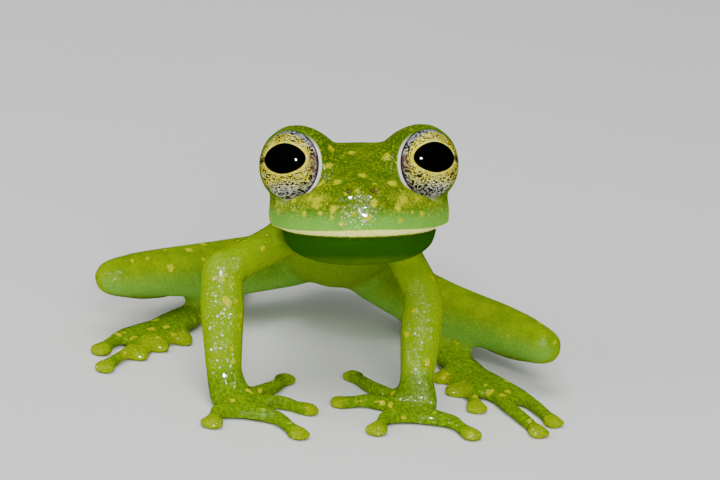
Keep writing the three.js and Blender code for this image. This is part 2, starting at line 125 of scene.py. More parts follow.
# Raised yellow spots on the face: across, up, radius.
FACE_SPOTS = [
    (-2.2, -1.1, 0.24), (-1.3, -1.0, 0.22), (0.1, -0.65, 0.18), (-0.45, 0.6, 0.2), (-1.6, 0.85, 0.24),
    (1.55, 0.35, 0.22), (1.75, -1.1, 0.24), (2.55, -1.3, 0.2), (-2.4, -2.05, 0.32), (-2.8, -1.85, 0.2),
    (-1.55, -2.5, 0.2), (-0.2, -1.5, 0.14), (0.7, -2.15, 0.18), (0.35, -2.95, 0.19), (2.2, -3.15, 0.15),
    (2.4, -2.0, 0.26), (2.05, -2.45, 0.2), (3.4, -2.8, 0.15), (2.85, -2.7, 0.1), (-4.55, -2.6, 0.2),
    (-3.15, -2.75, 0.16), (-3.65, -2.0, 0.2), (-2.25, -2.7, 0.14), (-1.1, -3.25, 0.13), (-0.4, -2.75, 0.12),
    (-3.7, -2.5, 0.1), (4.1, -2.05, 0.12), (3.15, -1.95, 0.18), (-1.7, -0.15, 0.2), (-1.6, -2.95, 0.12),
    (2.2, 0.05, 0.18), (0.8, -1.15, 0.12), (-3.4, -1.65, 0.1), (4.6, -2.7, 0.1), (-0.85, -1.65, 0.1),
]

# Painted highlights: where white glints are painted on the wet granules: across, up, half width, half
# height, strength.
PAINTED_GLINT_PLACES = [
    (-0.15, -2.55, 1.15, 1.0, 1.0), (-0.35, -1.55, 0.35, 0.2, 0.9), (0.8, -1.6, 0.35, 0.25, 1.0),
    (-1.95, -0.5, 0.4, 0.6, 0.9), (1.85, 0.1, 0.35, 0.5, 0.5), (-4.2, -2.4, 0.9, 0.5, 0.35),
]


def box_middle(*nodes):
    """The middle of the boxes of some solids, in millimetres."""
    corners = [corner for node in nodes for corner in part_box(node)]
    return sum(corners, Vector()) / len(corners) / MM


HEAD_CENTRE = box_middle("eye_right", "eye_left") - EYES_BOX_TO_HEAD
ORIGIN = HEAD_CENTRE - HEAD_SPOT
TO_HEAD = HEAD_TURN.transposed()


def in_head(place):
    """A place of the frame in the head's axes."""
    return TO_HEAD @ (place - HEAD_CENTRE)


def from_head(place):
    """A place in the head's axes in the frame."""
    return HEAD_CENTRE + HEAD_TURN @ Vector(place)


def ease(low, high, value):
    """0 below low, 1 above high, and a smooth rise in between."""
    share = min(1.0, max(0.0, (value - low) / (high - low)))
    return share * share * (3 - 2 * share)


def bell(value, width):
    """1 in the middle, falling away on both sides over a width."""
    return math.exp(-((value / width) ** 2))


def looking(side, outward, upward):
    """A direction in the head's axes that looks out to one side and up."""
    out = math.radians(outward)
    rise = math.radians(upward)
    return Vector((side * math.sin(out) * math.cos(rise), -math.cos(out) * math.cos(rise), math.sin(rise)))


def eye_centre(side):
    """The middle of one eyeball in the head's axes."""
    return Vector((side * EYE_PLACE[0], EYE_PLACE[1], EYE_PLACE[2]))


def axes_round(direction, side):
    """Outward and upward directions at right angles to a direction of the head."""
    upward = (Vector((0, 0, 1)) - direction * direction.z).normalized()
    return side * upward.cross(direction), upward


def worked(mesh, *modifiers):
    """A new mesh that a row of modifiers has been through."""
    blank = bpy.data.objects.new("blank", mesh)
    bpy.context.collection.objects.link(blank)
    for kind, settings in modifiers:
        modifier = blank.modifiers.new(kind.lower(), kind)
        for name, value in settings.items():
            setattr(modifier, name, value)
    seen = blank.evaluated_get(bpy.context.evaluated_depsgraph_get())
    done = bpy.data.meshes.new_from_object(seen)
    bpy.data.objects.remove(blank)
    return done


def finished(name, bm, material):
    """Brings a bmesh in millimetres to metres as one smooth piece of the frog."""
    bmesh.ops.scale(bm, vec=(MM, MM, MM), verts=bm.verts)
    for face in bm.faces:
        face.smooth = True
    mesh = bpy.data.meshes.new(name)
    bm.to_mesh(mesh)
    bm.free()
    mesh.materials.append(material)
    piece = bpy.data.objects.new(name, mesh)
    bpy.context.collection.objects.link(piece)
    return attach(piece, "root")


def paint(red, green, blue):
    """A colour as light, from 0 to 1."""
    return (red, green, blue, 1.0)


class Nodes:
    """Adds shader nodes to one material."""

    def __init__(self, name):
        self.material = bpy.data.materials.new(name)
        self.material.use_nodes = True
        self.tree = self.material.node_tree
        self.tree.nodes.clear()

    def add(self, kind, sockets=(), **settings):
        """One node. A socket gets a link where it is given another node's output, and a value otherwise."""
        node = self.tree.nodes.new("ShaderNode" + kind)
        for name, value in settings.items():
            setattr(node, name, value)
        for name, value in dict(sockets).items():
            if isinstance(value, bpy.types.NodeSocket):
                self.tree.links.new(value, node.inputs[name])
            else:
                node.inputs[name].default_value = value
        return node

    def math(self, operation, first, second=0.0):
        return self.add("Math", {0: first, 1: second}, operation=operation).outputs[0]

    def plus(self, first, second):
        return self.math("ADD", first, second)

    def minus(self, first, second):
        return self.math("SUBTRACT", first, second)

    def times(self, first, second):
        return self.math("MULTIPLY", first, second)

    def between(self, value, low, high, start=0.0, end=1.0):
        """start below low, end above high, and smooth in between."""
        sockets = {"Value": value, "From Min": low, "From Max": high, "To Min": start, "To Max": end}
        return self.add("MapRange", sockets, interpolation_type="SMOOTHSTEP").outputs["Result"]

    def mix(self, share, first, second):
        """The first colour, turning into the second as the share goes from 0 to 1."""
        return self.add("Mix", {0: share, 6: first, 7: second}, data_type="RGBA").outputs[2]

    def cells(self, place, scale):
        """A pattern of cells: the distance from each one's middle, and three chance numbers of its own."""
        outputs = self.add("TexVoronoi", {"Vector": place, "Scale": scale}).outputs
        return outputs["Distance"], self.add("SeparateXYZ", {"Vector": outputs["Color"]}).outputs

    def read(self, name):
        """A mask that the mesh carries."""
        return self.add("Attribute", attribute_name=name).outputs["Fac"]

    def surface(self, shader):
        """The material, finished with this shader."""
        self.add("OutputMaterial", {"Surface": shader.outputs[0]})
        return self.material


# Colours of the skin.
CROWN_GREEN = paint(0.1, 0.2, 0.0)
OLIVE_GREEN = paint(0.24, 0.33, 0.0)
# Painted shade in the creases between the granules.
CREVICE_SHADE_GREEN = paint(0.03, 0.08, 0.0)
HOOD_GREEN = paint(0.1, 0.21, 0.0)
FLECK_YELLOW = paint(0.5, 0.52, 0.01)
SPOT_HALO = paint(0.38, 0.45, 0.0)
SPOT_AMBER = paint(0.5, 0.45, 0.0)
SPOT_YELLOW = paint(0.57, 0.57, 0.0)
TEAL_GREEN = paint(0.18, 0.5, 0.06)
SNOUT_WHITE = paint(0.34, 0.58, 0.16)
LIP_YELLOW = paint(0.7, 0.75, 0.05)
LIP_CREAM = paint(1.0, 0.98, 0.3)
THROAT_GREEN = paint(0.014, 0.075, 0.0)
CHEEK_GREEN = paint(0.42, 0.5, 0.02)
LIMB_GREEN = paint(0.27, 0.43, 0.0)
HAND_YELLOW = paint(0.2, 0.36, 0.0)
HAND_DARK = paint(0.09, 0.2, 0.0)
DISC_YELLOW = paint(0.32, 0.43, 0.0)
THIGH_TEAL = paint(0.2, 0.48, 0.06)
BELLY_OLIVE = paint(0.2, 0.36, 0.01)
RIM_WHITE = paint(0.95, 0.82, 0.72)
NOSTRIL_RED = paint(0.07, 0.01, 0.0)
# Painted shade in the mouth's groove and where the lids turn in against the eyeballs.
CREASE_SHADE_GREEN = paint(0.02, 0.06, 0.0)
# Painted white glints on wet granules.
PAINTED_GLINT_WHITE = paint(1.0, 1.0, 0.7)


# Patterns on the skin, in cells for each millimetre, and the height of its relief in metres.
GRANULES = 7
CRUMBS = 13
BEADS = 3.4
SPOTS = 1.1
MOTTLING = 1.1
RAGGEDNESS = 5
SPOT_BENDING = 1.6
BUMP_HEIGHT = 0.0001


def skin_material():
    """Moist green skin: granules with painted shade in their creases, yellow spots, a pale lip and rims,
    painted white glints, and a wet film.
    """
    make = Nodes("frog_skin")
    place = make.add("TexCoord").outputs["Object"]
    per_mm = (1 / MM, 1 / MM, 1 / MM)
    place = make.add("Mapping", {"Vector": place, "Scale": per_mm}).outputs["Vector"]
    grain = make.read("grain")
    mottle = make.add("TexNoise", {"Vector": place, "Scale": MOTTLING, "Detail": 5, "Roughness": 0.6})
    mottle = mottle.outputs["Fac"]
    ragged = make.add("TexNoise", {"Vector": place, "Scale": RAGGEDNESS, "Detail": 3}).outputs["Fac"]
    ragged = make.minus(ragged, 0.5)
    granule, granule_kind = make.cells(place, GRANULES)
    crumb = make.cells(place, CRUMBS)[0]
    bead, bead_kind = make.cells(place, BEADS)
    limb = make.read("limb")
    # Base greens, with painted shade in the creases between the granules and a yellow top on some of them.
    colour = make.mix(make.between(mottle, 0.35, 0.68), CROWN_GREEN, OLIVE_GREEN)
    colour = make.mix(make.read("hood"), colour, HOOD_GREEN)
    flecks = make.between(granule, 0.15, 0.5, 1.0, 0.0)
    flecks = make.times(make.between(granule_kind["X"], 0.45, 0.75), flecks)
    flecks = make.times(flecks, make.plus(make.times(make.read("hood"), 0.9), 0.3))
    colour = make.mix(make.times(flecks, grain), colour, FLECK_YELLOW)
    crevice_shade = make.times(make.between(granule, 0.3, 0.62, 0.0, 0.6), grain)
    palm = make.mix(make.between(ragged, -0.12, 0.12), HAND_DARK, HAND_YELLOW)
    for mask, tint in (
        ("belly", BELLY_OLIVE), ("limb", LIMB_GREEN), ("thigh", THIGH_TEAL), ("hand", palm),
        ("disc", DISC_YELLOW), ("teal", TEAL_GREEN), ("cheek", CHEEK_GREEN), ("snout", SNOUT_WHITE),
    ):
        share = make.read(mask)
        if mask in ("disc", "cheek", "snout"):
            share = make.between(make.plus(share, ragged), 0.1, 0.9)
        colour = make.mix(share, colour, tint)
    colour = make.mix(crevice_shade, colour, CREVICE_SHADE_GREEN)
    colour = make.mix(make.read("throat"), colour, THROAT_GREEN)
    dust = make.times(make.between(bead_kind["X"], 0.35, 0.5), make.read("dust"))
    dust = make.times(dust, make.between(make.minus(bead, ragged), 0.1, 0.35, 0.7, 0.0))
    yellow = make.mix(make.between(make.plus(ragged, mottle), 0.25, 0.5), SPOT_AMBER, SPOT_YELLOW)
    colour = make.mix(dust, colour, yellow)
    # Yellow spots: those of the face come from the mesh, and the others are scattered over back and limbs.
    wave = make.add("TexNoise", {"Vector": place, "Scale": SPOT_BENDING, "Detail": 3}).outputs["Color"]
    wave = make.add("VectorMath", {0: wave, 1: (0.55, 0.55, 0.55)}, operation="MULTIPLY").outputs[0]
    bent = make.add("VectorMath", {0: wave, 1: place}, operation="ADD").outputs[0]
    from_middle, spot_kind = make.cells(bent, SPOTS)
    inside = make.minus(make.times(spot_kind["X"], 0.28), from_middle)
    scattered = make.times(make.between(inside, -0.16, 0.1), make.read("spotted"))
    spots = make.math("MAXIMUM", make.read("spot"), scattered)
    uneven = make.times(ragged, make.between(spots, 0.02, 0.3, 0.0, 1.9))
    uneven = make.plus(spots, uneven)
    colour = make.mix(make.between(uneven, 0.1, 0.6), colour, SPOT_HALO)
    colour = make.mix(make.between(uneven, 0.35, 0.95), colour, yellow)
    lip = make.plus(make.read("lip"), make.times(ragged, 0.9))
    colour = make.mix(make.between(lip, 0.25, 0.6), colour, LIP_YELLOW)
    colour = make.mix(make.between(lip, 0.6, 1.0), colour, LIP_CREAM)
    # Pale eyelid rims, painted shade in the mouth's groove and where the lids turn in against the eyeballs,
    # and dark red nostrils.
    for mask, tint in (("rim", RIM_WHITE), ("crease_shade", CREASE_SHADE_GREEN), ("nostril", NOSTRIL_RED)):
        colour = make.mix(make.read(mask), colour, tint)
    # Painted highlights: white glints painted on the wet tops of granules on the snout and beside the eyes,
    # and of beads on the forearms.
    small = make.between(granule, 0.2, 0.38, 1.0, 0.0)
    small = make.times(small, make.between(granule_kind["Y"], 0.5, 0.6))
    large = make.between(bead, 0.14, 0.3, 1.0, 0.0)
    large = make.times(large, make.between(bead_kind["Y"], 0.35, 0.45))
    painted_glints = make.add("Mix", {0: limb, 2: small, 3: large}).outputs[0]
    painted_glints = make.times(painted_glints, make.read("painted_glint"))
    colour = make.mix(painted_glints, colour, PAINTED_GLINT_WHITE)
    # Relief: domed granules with crumbs between them, and raised spots.
    dome = make.between(granule, 0.0, 0.7, 1.0, 0.0)
    height = make.times(make.plus(dome, make.between(crumb, 0.0, 0.7, 0.35, 0.0)), grain)
    height = make.plus(height, make.times(scattered, 0.8))
    bump = make.add("Bump", {"Strength": 0.9, "Distance": BUMP_HEIGHT, "Height": height})
    # The wet film stands in larger beads over the limbs, and is thin on the back and the throat.
    drops = make.times(make.between(bead, 0.0, 0.6, 1.0, 0.0), limb)
    film = make.times(dome, make.times(grain, make.between(limb, 0.1, 0.5, 1.0, 0.0)))
    film = make.plus(film, make.times(drops, 1.5))
    film = make.add("Bump", {"Strength": 1.0, "Distance": BUMP_HEIGHT, "Height": film})
    rough = make.between(mottle, 0.3, 0.7, 0.34, 0.5)
    wet = make.between(make.math("MAXIMUM", limb, make.read("painted_glint")), 0.0, 0.8, 0.15, 1.0)
    wet = make.times(wet, make.between(make.read("throat"), 0.0, 0.5, 1.0, 0.05))
    shader = make.add("BsdfPrincipled", {
        "Base Color": colour, "Roughness": rough, "Coat Weight": wet,
        "Normal": bump.outputs["Normal"], "Coat Normal": film.outputs["Normal"],
        "Subsurface Weight": 0.3, "Subsurface Radius": (1.0, 1.0, 0.25), "Subsurface Scale": 0.0005,
        "Coat Roughness": 0.06, "Coat IOR": 1.4, "IOR": 1.35, "Specular IOR Level": 0.0,
    })
    return make.surface(shader)


# The eye: half sizes of the pupil as shares of the eyeball's radius, and the colours.
PUPIL_HALF_WIDTH = 0.59
PUPIL_HALF_HEIGHT = 0.415
PUPIL_BLACK = paint(0.001, 0.001, 0.0015)
NET_BLACK = paint(0.008, 0.007, 0.014)
IRIS_CREAM = paint(0.85, 0.8, 0.16)
IRIS_YELLOW = paint(0.7, 0.62, 0.01)
IRIS_LILAC = paint(0.34, 0.33, 0.37)
IRIS_WHITE = paint(0.62, 0.63, 0.55)
IRIS_BROWN = paint(0.1, 0.04, 0.03)
IRIS_EDGE = paint(0.012, 0.01, 0.035)


def eye_material():
    """A black pupil in a cream iris with a fine black net, under a wet cornea."""
    make = Nodes("frog_eye")
    across, up, side, edge = [make.read(name) for name in ("eye_out", "eye_up", "eye_side", "eye_edge")]
    wide = make.math("POWER", make.math("DIVIDE", make.math("ABSOLUTE", across), PUPIL_HALF_WIDTH), 1.7)
    tall = make.math("POWER", make.math("DIVIDE", make.math("ABSOLUTE", up), PUPIL_HALF_HEIGHT), 2.0)
    reach = make.plus(wide, tall)
    flat = make.add("CombineXYZ", {"X": across, "Y": up, "Z": side}).outputs[0]
    cloud = make.add("TexNoise", {"Vector": flat, "Scale": 6, "Detail": 4}).outputs["Fac"]
    # Fine black lines that run round the pupil, with their seam at the outer corner.
    turn = make.math("ARCTAN2", up, make.times(across, -1.0))
    squares = [make.math("POWER", part, 2.0) for part in (across, make.times(up, 1.25))]
    radius = make.math("SQRT", make.plus(*squares))
    ringed = make.add("CombineXYZ", {
        "X": make.times(turn, 4.0), "Y": make.times(radius, 9.0), "Z": side,
    }).outputs[0]
    squiggle = make.add("TexNoise", {"Vector": ringed, "Scale": 1.0, "Detail": 2, "Distortion": 0.5})
    ladder = make.math("PINGPONG", make.times(squiggle.outputs["Fac"], 5.5), 0.5)
    line = make.between(ladder, 0.17, 0.33, 1.0, 0.0)
    # The iris: yellow to cream, lilac and white low down and along its upper and nasal edges.
    low = make.between(up, -0.85, -0.5, 1.0, 0.0)
    high = make.times(make.between(edge, 0.74, 0.84), make.between(up, 0.05, 0.5))
    nose_side = make.times(make.between(edge, 0.78, 0.86), make.between(across, -0.6, -0.3, 1.0, 0.0))
    colour = make.mix(make.between(cloud, 0.4, 0.6), IRIS_YELLOW, IRIS_CREAM)
    pale_low = make.mix(make.between(cloud, 0.42, 0.58), IRIS_LILAC, IRIS_WHITE)
    colour = make.mix(make.times(low, 0.9), colour, pale_low)
    colour = make.mix(make.math("MAXIMUM", high, make.times(nose_side, 0.7)), colour, IRIS_LILAC)
    # The net is broken over the pale patches, and stops short of the pupil.
    gap = make.times(high, make.between(cloud, 0.5, 0.65, 0.0, 0.5))
    net = make.times(line, make.minus(1.0, gap))
    net = make.times(net, make.between(cloud, 0.6, 0.75, 1.0, 0.4))
    net = make.times(net, make.between(reach, 1.1, 1.35))
    colour = make.mix(net, colour, NET_BLACK)
    # A brown patch on the nasal side, a dark line round the iris, a dark outer corner, and the pupil.
    nasal = make.times(make.between(across, -0.78, -0.56, 1.0, 0.0), make.between(up, 0.05, 0.3, 1.0, 0.0))
    nasal = make.times(nasal, make.between(up, -0.5, -0.2))
    colour = make.mix(make.times(nasal, make.between(cloud, 0.35, 0.6, 0.3, 0.85)), colour, IRIS_BROWN)
    dark_edge = make.times(make.between(edge, 0.9, 0.94), make.between(across, -0.55, 0.3, 1.0, 0.4))
    colour = make.mix(dark_edge, colour, IRIS_EDGE)
    corner = make.times(make.between(tall, 0.01, 0.08, 1.0, 0.0), make.between(across, 0.4, 0.55))
    colour = make.mix(make.times(corner, 0.85), colour, PUPIL_BLACK)
    colour = make.mix(make.between(reach, 0.97, 1.05, 1.0, 0.0), colour, PUPIL_BLACK)
    shader = make.add("BsdfPrincipled", {
        "Base Color": colour, "Roughness": 0.5, "IOR": 1.38, "Specular IOR Level": 0.0,
        "Coat Weight": 1.0, "Coat Roughness": 0.02, "Coat IOR": 1.38,
    })
    return make.surface(shader)


FLOOR_GREY = paint(0.74, 0.73, 0.71)
FLOOR_WHITE = paint(0.8, 0.79, 0.77)


def floor_material():
    """A plain pale floor, very slightly clouded."""
    make = Nodes("pale_floor")
    place = make.add("TexCoord").outputs["Object"]
    cloud = make.add("TexNoise", {"Vector": place, "Scale": 30, "Detail": 3}).outputs["Fac"]
    colour = make.mix(cloud, FLOOR_GREY, FLOOR_WHITE)
    return make.surface(make.add("BsdfPrincipled", {"Base Color": colour, "Roughness": 0.8}))


# The solids that the skin stands for, and the masks that it carries.
FLESH = [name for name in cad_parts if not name.startswith("eye_")]
MASKS = (
    "grain", "belly", "limb", "thigh", "hand", "disc", "teal", "snout", "throat", "spot", "lip", "rim",
    "crease_shade", "nostril", "head", "cheek", "hood", "painted_glint", "dust", "spotted",
)


def merged_flesh():
    """One bmesh of all flesh solids in millimetres, with each face's part in a layer."""
    bm = bmesh.new()
    bm.faces.layers.int.new("part")
    for number, name in enumerate(FLESH, start=1):
        bm.from_mesh(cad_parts[name].data)
        part = bm.faces.layers.int["part"]
        for face in bm.faces:
            if face[part] == 0:
                face[part] = number
    bmesh.ops.remove_doubles(bm, verts=bm.verts, dist=1e-6)
    bmesh.ops.scale(bm, vec=(1 / MM, 1 / MM, 1 / MM), verts=bm.verts)
    return bm


def smoothed(bm, rounds, chosen):
    """Rounds off the chosen part of a surface."""
    every_way = {"use_axis_x": True, "use_axis_y": True, "use_axis_z": True}
    for _ in range(rounds):
        bmesh.ops.smooth_vert(bm, verts=chosen, factor=0.5, **every_way)


def softened(bm, layer, rounds):
    """Blurs a mask over the surface."""
    for _ in range(rounds):
        values = []
        for vert in bm.verts:
            beside = sum(edge.other_vert(vert)[layer] for edge in vert.link_edges) / len(vert.link_edges)
            values.append((vert[layer] + beside) / 2)
        for vert, value in zip(bm.verts, values):
            vert[layer] = value


def mouth_z(y):
    """Height of the mouth line, which rises a little towards the back."""
    return MOUTH_FRONT_Z + MOUTH_RISE * (y - SNOUT_Y)


class Lid:
    """Polar places round the axis of one eye's opening, in the head's axes."""

    def __init__(self, side):
        self.centre = eye_centre(side)
        self.axis = looking(side, OPENING_OUTWARD, OPENING_UPWARD)
        self.outward, self.upward = axes_round(self.axis, side)

    def polar(self, place):
        """Distance from the eye's centre, angle off the axis, and turn from outward by way of upward."""
        from_centre = place - self.centre
        turn = math.atan2(from_centre.dot(self.upward), from_centre.dot(self.outward))
        return from_centre.length, from_centre.angle(self.axis), turn

    def place(self, distance, angle, turn):
        """The place that has this distance, angle and turn."""
        ring = self.outward * math.cos(turn) + self.upward * math.sin(turn)
        return self.centre + distance * (self.axis * math.cos(angle) + ring * math.sin(angle))

    def edge(self, turn):
        """The angle of the opening's edge, which droops a little at the top."""
        return LID_EDGE - LID_DROOP * max(0, math.sin(turn)) ** 2

    def thickness(self, turn, behind):
        """The upper lid is thin at its edge and rounds up behind it."""
        upper = max(0, math.sin(turn)) * ease(0, 0.3, behind)
        return LID_THICKNESS + UPPER_LID_EXTRA * upper + PALE_RIM_EXTRA * self.pale(turn)

    def pale(self, turn):
        """How pale the edge is: most on the nasal lower side."""
        return ease(0.05, 0.8, math.cos(turn - PALE_RIM_TURN))


LIDS = [Lid(side) for side in SIDES.values()]


def shaped_lids(bm, masks):
    """Raises a low lid round each eye, with a shallow fold behind it."""
    beside = []
    for vert in bm.verts:
        place = in_head(vert.co)
        for lid in LIDS:
            distance, angle, turn = lid.polar(place)
            edge = lid.edge(turn)
            if distance > EYE_RADIUS + 1.3 or angle > edge + 1.3:
                continue
            hood = (1 - ease(0.5, 1.2, angle - edge)) * ease(-0.5, 0.2, math.sin(turn))
            vert[masks["hood"]] = 0.8 * hood * (1 - ease(0.7, 1.2, distance - EYE_RADIUS))
            if distance > EYE_RADIUS + 0.9 or angle > edge + 0.6:
                continue
            target = EYE_RADIUS + lid.thickness(turn, angle - edge)
            near = (1 - ease(0.1, 0.5, angle - edge)) * (1 - ease(0.4, 0.8, distance - EYE_RADIUS))
            distance += (target - distance) * near
            distance -= LID_FOLD_DEPTH * bell(angle - edge - LID_FOLD_BEHIND, 0.1) * near
            distance = max(distance, EYE_RADIUS + LID_CLEARANCE)
            vert.co = from_head(lid.place(distance, angle, turn))
            beside.append(vert)
            break
    smoothed(bm, LID_ROUNDS, beside)


def face_spots(bm):
    """The middle and radius of each face spot, on the skin itself."""
    tree = BVHTree.FromBMesh(bm)
    spots = []
    for x, z, radius in FACE_SPOTS:
        middle = tree.ray_cast(from_head((x, -12, z)), HEAD_TURN @ Vector((0, 1, 0)))[0]
        spots.append((in_head(middle), radius))
    return spots


def shaped_face(bm, masks):
    """Moves the head's vertices into lips, nostrils, spots and folds, and fills the head's masks."""
    spots = face_spots(bm)
    for vert in bm.verts:
        place = in_head(vert.co)
        on_head = vert[masks["head"]]
        if place.y > 4.5 or place.z < -6.0 or abs(place.x) > FACE_HALF_WIDTH or on_head < 0.02:
            continue
        start = place.copy()
        normal = TO_HEAD @ vert.normal
        front = (1 - ease(2.4, 4.0, place.y)) * on_head
        over_mouth = place.z - mouth_z(place.y)
        # The mouth: a groove under an upper lip that swells a little.
        inward = Vector((-place.x, 1.5 - place.y, 0)).normalized()
        groove = bell(over_mouth + 0.12, 0.15) * front
        place += inward * (GROOVE_DEPTH * groove - LIP_SWELL * bell(over_mouth - 0.25, 0.2) * front)
        # Painted shade darkens the groove of the mouth.
        vert[masks["crease_shade"]] = max(vert[masks["crease_shade"]], 0.6 * bell(over_mouth + 0.14, 0.08) * front)
        lip_top = LIP_HEIGHT + LIP_EXTRA_HEIGHT * bell(place.x - 0.3, 3.2)
        below_top = 1 - ease(lip_top * 0.75, lip_top * 1.15, over_mouth)
        vert[masks["lip"]] = ease(-0.06, 0.02, over_mouth) * below_top * front
        throat = (1 - ease(-0.1, 0.0, over_mouth)) * (1 - ease(0.5, 4.2, place.y)) * on_head
        # The throat's dark green thins a little along its lower edge, a painted rim of light.
        vert[masks["throat"]] = throat * (1 - 0.3 * ease(-5.0, -5.5, place.z))
        # Teal over the lip, yellow on the cheeks and under the eyes, and a pale end to the snout.
        vert[masks["teal"]] = ease(0.05, 0.3, over_mouth) * (1 - ease(0.8, 1.75, over_mouth)) * 0.8 * front
        cheek = math.hypot((abs(place.x) - 2.7) / 1.3, (place.z + 1.95) / 0.6)
        below_eye = math.hypot((abs(place.x) - 4.2) / 1.1, (place.z + 2.3) / 0.45)
        patch = max(0.7 * (1 - ease(0.4, 1.3, cheek)), 0.5 * (1 - ease(0.3, 1.3, below_eye)))
        vert[masks["cheek"]] = patch * (place.y < 1.5)
        dusty = ease(-3.4, -2.8, place.z) * ease(-0.6, -1.4, place.z)
        vert[masks["dust"]] = dusty * ease(0.8, 2.0, abs(place.x))
        nose = math.hypot((place.x - 0.1) / 1.3, (place.z + 2.35) / 0.95)
        vert[masks["snout"]] = 0.35 * (1 - ease(0.3, 1.3, nose)) * (place.y < -2)
        # Painted white glints on the wet granules of the snout and beside the eyes.
        if place.y < 1:
            for x, z, width, height, strength in PAINTED_GLINT_PLACES:
                away = math.hypot((start.x - x) / width, (start.z - z) / height)
                vert[masks["painted_glint"]] = max(vert[masks["painted_glint"]], strength * (1 - ease(0.5, 1.3, away)))
        if place.y < -1.5:
            for side in SIDES.values():
                to_hole = math.hypot(place.x - side * NOSTRIL[0], place.z - NOSTRIL[1])
                place += NOSTRIL_PIT * bell(to_hole, NOSTRIL_RADIUS)
                place += normal * NOSTRIL_RIM * bell(to_hole - 0.25, 0.11)
                vert[masks["nostril"]] = max(vert[masks["nostril"]], 0.8 * bell(to_hole, 0.15))
        if place.y < 2 and over_mouth > 0.1:
            for middle, radius in spots:
                away = (start - middle).length / radius
                if away < 2.4:
                    spot = 1 - ease(0.15, 1.95, away)
                    vert[masks["spot"]] = max(vert[masks["spot"]], 0.85 * spot)
                    place += normal * SPOT_RELIEF * radius * bell(away, 1.0)
        # Small upright folds at the corners of the mouth, and skin that is smoother towards the lip.
        corner = bell(place.y - 1.6, 1.1) * bell(over_mouth - 0.6, 0.8) * ease(3.4, 4.4, abs(place.x))
        fold = math.sin(place.y * FOLD_RATE)
        place += normal * FOLD_HEIGHT * corner * fold
        vert[masks["spot"]] = max(vert[masks["spot"]], 0.6 * corner * max(0, fold))
        vert[masks["grain"]] *= 0.1 + 0.9 * ease(0.2, 1.9, over_mouth)
        vert.co = from_head(place)


def opened_lids(bm, masks):
    """Cuts each eye's opening in the skin and turns its edge in against the eyeball."""
    for lid in LIDS:
        centre = from_head(lid.centre)
        gone = []
        for vert in bm.verts:
            if (vert.co - centre).length < EYE_RADIUS + 0.5:
                _, angle, turn = lid.polar(in_head(vert.co))
                if angle < lid.edge(turn):
                    gone.append(vert)
        bmesh.ops.delete(bm, geom=gone, context="VERTS")
        loop = [
            edge for edge in bm.edges
            if edge.is_boundary and (edge.verts[0].co - centre).length < EYE_RADIUS + 1.0
        ]
        rim = {vert for edge in loop for vert in edge.verts}
        for _ in range(LID_ROUNDS):
            middles = {}
            for vert in rim:
                beside = [edge.other_vert(vert).co for edge in vert.link_edges if edge.is_boundary]
                middles[vert] = (vert.co * 2 + sum(beside, Vector())) / (2 + len(beside))
            for vert, middle in middles.items():
                distance, _, turn = lid.polar(in_head(middle))
                vert.co = from_head(lid.place(distance, lid.edge(turn), turn))
        for reach, lean, pale in RIM_STEPS:
            made = bmesh.ops.extrude_edge_only(bm, edges=loop)["geom"]
            loop = [item for item in made if isinstance(item, bmesh.types.BMEdge) and item.is_boundary]
            for vert in (item for item in made if isinstance(item, bmesh.types.BMVert)):
                distance, _, turn = lid.polar(in_head(vert.co))
                distance = EYE_RADIUS + min(RIM_FLATTENING * (distance - EYE_RADIUS), reach)
                vert.co = from_head(lid.place(distance, lid.edge(turn) - math.radians(lean), turn))
                # The pale rim turns in against the eyeball, and where the rim isn't pale it gets painted
                # shade there.
                vert[masks["rim"]] = lid.pale(turn) * pale
                vert[masks["crease_shade"]] = 0.5 * (1 - lid.pale(turn)) * pale
                vert[masks["grain"]] = 0.1
        bmesh.ops.holes_fill(bm, edges=loop, sides=0)


def fill_body_masks(bm, masks, tree, faces, part):
    """Sets the masks that follow the parts of the body."""
    for vert in bm.verts:
        number = tree.find_nearest(vert.co)[2]
        name = FLESH[faces[number][part] - 1]
        vert[masks["grain"]] = 1.0
        place = in_head(vert.co)
        behind = max(ease(0.8, 2.0, place.y), ease(-5.0, -6.0, place.z))
        vert[masks["spotted"]] = behind * ease(0.0, 0.4, vert.normal.z)
        vert[masks["head"]] = float(name in ("head", "lower_jaw"))
        if name.startswith(("upper_arm", "forearm", "shank", "tarsus")):
            vert[masks["limb"]] = 0.8
            vert[masks["grain"]] = 0.3
            # Painted white glints on the fronts of the forearms, where they face the highlight lamp.
            if name.startswith("forearm"):
                vert[masks["painted_glint"]] = ease(0.62, 0.88, -vert.normal.y)
        elif name.startswith("thigh"):
            vert[masks["thigh"]] = 0.8 * (1 - ease(-0.6, 0.7, vert.normal.z))
            vert[masks["limb"]] = 0.35
            vert[masks["grain"]] = 0.35
        elif name.startswith(("hand", "foot")):
            vert[masks["limb"]] = 0.8
            vert[masks["hand"]] = 0.85
            vert[masks["grain"]] = 0.5
            for x, y in TIPS[name]:
                away = math.hypot(vert.co.x - ORIGIN.x - x, vert.co.y - ORIGIN.y - y)
                vert[masks["disc"]] = max(vert[masks["disc"]], 0.9 * (1 - ease(0.7, 1.4, away)))
        elif name == "torso":
            vert[masks["belly"]] = 0.8 * (1 - ease(-0.3, 0.4, vert.normal.z))
            vert[masks["grain"]] = 0.5 + 0.5 * ease(-0.2, 0.4, vert.normal.z)
    for name in ("limb", "thigh", "hand", "belly", "grain", "head", "spotted", "painted_glint"):
        softened(bm, masks[name], MASK_ROUNDS)


def from_tips(place):
    """From 0 round the tips of the digits to 1 over the rest of the body."""
    if place.z > 2.0:
        return 1.0
    across, back = place.x - ORIGIN.x, place.y - ORIGIN.y
    away = min(math.hypot(across - x, back - y) for tips in TIPS.values() for x, y in tips)
    return max(ease(1.0, 1.9, away), ease(1.3, 2.0, place.z))


